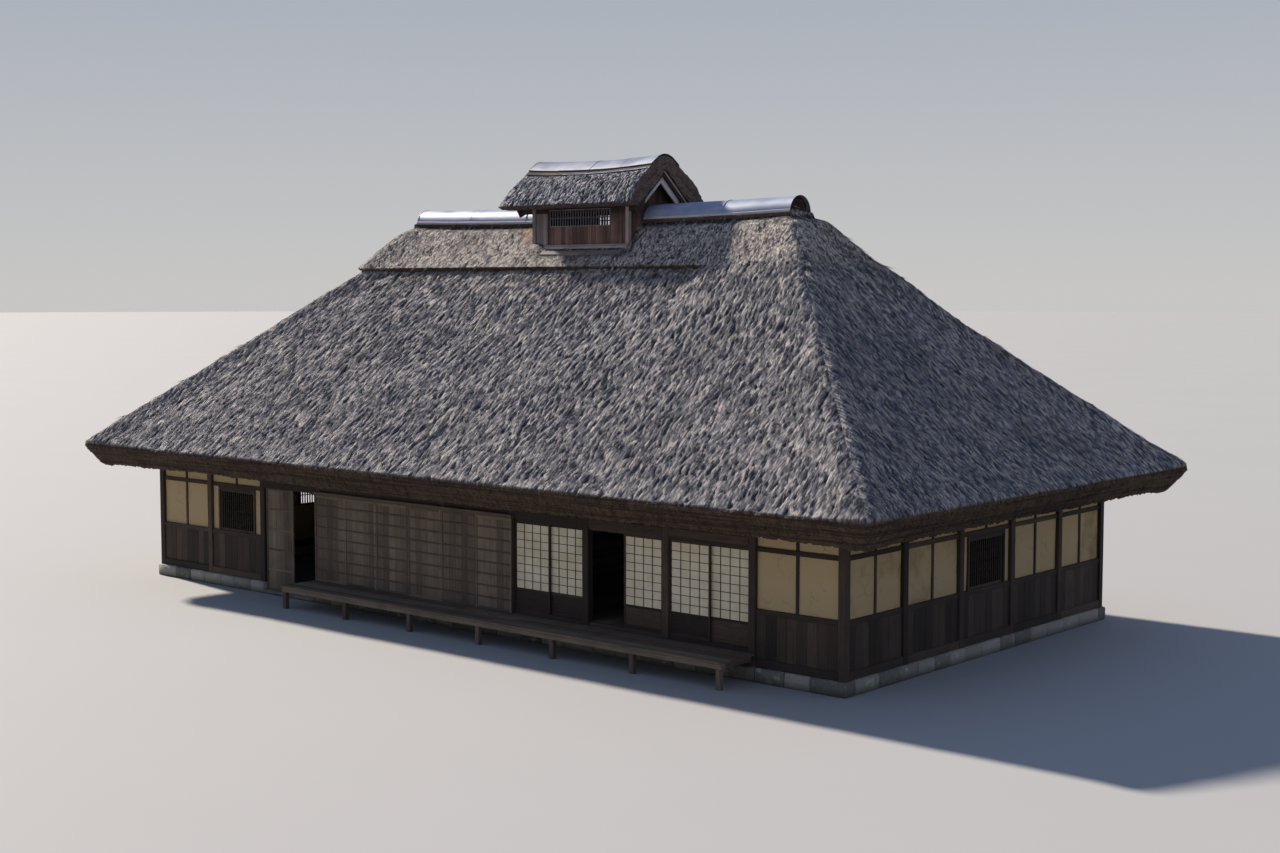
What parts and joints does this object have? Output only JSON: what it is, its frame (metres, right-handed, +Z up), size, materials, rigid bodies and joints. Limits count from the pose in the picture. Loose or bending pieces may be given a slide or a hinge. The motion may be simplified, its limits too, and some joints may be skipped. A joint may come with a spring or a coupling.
{
  "type": "minka farmhouse",
  "caption": "Thatched Japanese farmhouse with a hipped roof, metal ridge cap, thatched smoke vent on the ridge, timber frame, clay walls and a veranda.",
  "frame": {"origin": "on the ground at the middle of the plan of the walls and roof", "axes": "+X along the ridge to the right of the front, +Y from the front to the rear, +Z up"},
  "size_m": [21.358, 11.424, 9.353],
  "materials": {
    "thatch": "weathered reed thatch, cut ends and streaks",
    "ridge_metal": "faded sheet steel with seams, brown at the hems",
    "vent_metal": "pale worn sheet steel",
    "weathered_board": "bleached bare timber",
    "vent_board": "reddish brown upright boards",
    "dark_timber": "smoke-darkened timber",
    "footing_stone": "rough dressed stone",
    "clay_plaster": "straw-flecked clay plaster",
    "screen_paper": "paper on a fine timber grid",
    "plank": "weathered cedar planks"
  },
  "bodies": {
    "root": {"entrance_door": "plank", "entrance_lintel": "dark_timber", "entrance_threshold": "footing_stone", "foundation": "footing_stone", "front_left_frame": "dark_timber", "front_left_wall": "clay_plaster", "front_plate": "dark_timber", "front_right_frame": "dark_timber", "front_right_wall": "clay_plaster", "front_thatch_lower": "thatch", "front_thatch_upper": "thatch", "front_upper_wall": "clay_plaster", "front_window_lattice": "dark_timber", "left_frame": "dark_timber", "left_thatch": "thatch", "left_wall": "clay_plaster", "left_window_lattice": "dark_timber", "rain_shutters": "plank", "raised_floor": "plank", "rear_frame": "dark_timber", "rear_plate": "dark_timber", "rear_thatch_lower": "thatch", "rear_thatch_upper": "thatch", "rear_wall": "clay_plaster", "rear_window_lattice": "dark_timber", "ridge_cap_left": "ridge_metal", "ridge_cap_right": "ridge_metal", "right_frame": "dark_timber", "right_thatch": "thatch", "right_wall": "clay_plaster", "right_window_lattice": "dark_timber", "roof_truss_1": "dark_timber", "roof_truss_2": "dark_timber", "roof_truss_3": "dark_timber", "roof_truss_4": "dark_timber", "screen_bay_7": "screen_paper", "screen_bay_8": "screen_paper", "screen_bay_9": "screen_paper", "vent_frame": "weathered_board", "vent_front_apron": "weathered_board", "vent_front_boards": "vent_board", "vent_front_lattice": "dark_timber", "vent_front_thatch": "thatch", "vent_left_bargeboards": "weathered_board", "vent_left_wall": "vent_board", "vent_rear_apron": "weathered_board", "vent_rear_boards": "vent_board", "vent_rear_lattice": "dark_timber", "vent_rear_thatch": "thatch", "vent_ridge_cap": "vent_metal", "vent_right_bargeboards": "weathered_board", "vent_right_wall": "vent_board", "veranda": "plank"}
  },
  "joints": []
}
